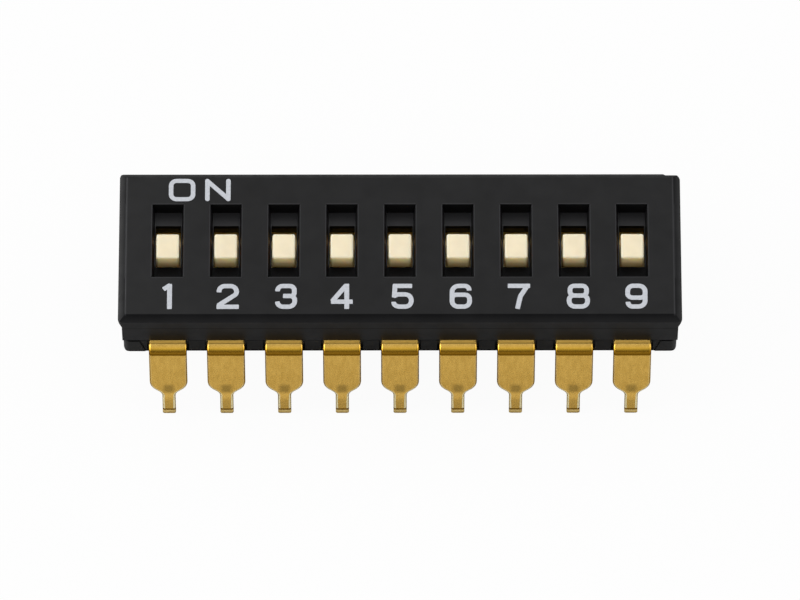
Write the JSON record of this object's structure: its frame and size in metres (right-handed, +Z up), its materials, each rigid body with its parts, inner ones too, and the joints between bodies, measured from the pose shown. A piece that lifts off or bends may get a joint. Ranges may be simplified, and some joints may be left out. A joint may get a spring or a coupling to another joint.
{
  "type": "dip switch",
  "caption": "Low black housing with a row of captive cream slide actuators, white ON and position print, and two rows of gold-plated, slightly splayed board pins.",
  "frame": {"origin": "midway between the two rows of leads, level with the tips of their pins", "axes": "+X along the row of switches from position 1 to position 9, +Y towards the ON side, +Z up out of the cover"},
  "size_m": [0.0246, 0.0102, 0.0061],
  "materials": {
    "cover_plastic": "black moulded plastic, fine satin texture",
    "base_plastic": "black moulded plastic, satin",
    "slider_plastic": "cream moulded plastic, soft gloss",
    "lead_metal": "gold-plated copper alloy strip",
    "spring_metal": "gold-plated spring strip",
    "print_ink": "white pad-printed ink"
  },
  "bodies": {
    "housing": {"cover": "cover_plastic", "base": "base_plastic", "front_terminal_1": "lead_metal", "front_terminal_2": "lead_metal", "front_terminal_3": "lead_metal", "front_terminal_4": "lead_metal", "front_terminal_5": "lead_metal", "front_terminal_6": "lead_metal", "front_terminal_7": "lead_metal", "front_terminal_8": "lead_metal", "front_terminal_9": "lead_metal", "rear_terminal_1": "lead_metal", "rear_terminal_2": "lead_metal", "rear_terminal_3": "lead_metal", "rear_terminal_4": "lead_metal", "rear_terminal_5": "lead_metal", "rear_terminal_6": "lead_metal", "rear_terminal_7": "lead_metal", "rear_terminal_8": "lead_metal", "rear_terminal_9": "lead_metal"},
    "switch_1": {"slider_1": "slider_plastic", "contact_1": "spring_metal"},
    "switch_2": {"slider_2": "slider_plastic", "contact_2": "spring_metal"},
    "switch_3": {"slider_3": "slider_plastic", "contact_3": "spring_metal"},
    "switch_4": {"slider_4": "slider_plastic", "contact_4": "spring_metal"},
    "switch_5": {"slider_5": "slider_plastic", "contact_5": "spring_metal"},
    "switch_6": {"slider_6": "slider_plastic", "contact_6": "spring_metal"},
    "switch_7": {"slider_7": "slider_plastic", "contact_7": "spring_metal"},
    "switch_8": {"slider_8": "slider_plastic", "contact_8": "spring_metal"},
    "switch_9": {"slider_9": "slider_plastic", "contact_9": "spring_metal"}
  },
  "joints": [
    {"name": "switch_1_slide", "type": "slide", "parent": "housing", "child": "switch_1", "axis": [0, 1, 0], "range_m": [0, 0.00075]},
    {"name": "switch_2_slide", "type": "slide", "parent": "housing", "child": "switch_2", "axis": [0, 1, 0], "range_m": [0, 0.00075]},
    {"name": "switch_3_slide", "type": "slide", "parent": "housing", "child": "switch_3", "axis": [0, 1, 0], "range_m": [0, 0.00075]},
    {"name": "switch_4_slide", "type": "slide", "parent": "housing", "child": "switch_4", "axis": [0, 1, 0], "range_m": [0, 0.00075]},
    {"name": "switch_5_slide", "type": "slide", "parent": "housing", "child": "switch_5", "axis": [0, 1, 0], "range_m": [0, 0.00075]},
    {"name": "switch_6_slide", "type": "slide", "parent": "housing", "child": "switch_6", "axis": [0, 1, 0], "range_m": [0, 0.00075]},
    {"name": "switch_7_slide", "type": "slide", "parent": "housing", "child": "switch_7", "axis": [0, 1, 0], "range_m": [0, 0.00075]},
    {"name": "switch_8_slide", "type": "slide", "parent": "housing", "child": "switch_8", "axis": [0, 1, 0], "range_m": [0, 0.00075]},
    {"name": "switch_9_slide", "type": "slide", "parent": "housing", "child": "switch_9", "axis": [0, 1, 0], "range_m": [0, 0.00075]}
  ]
}
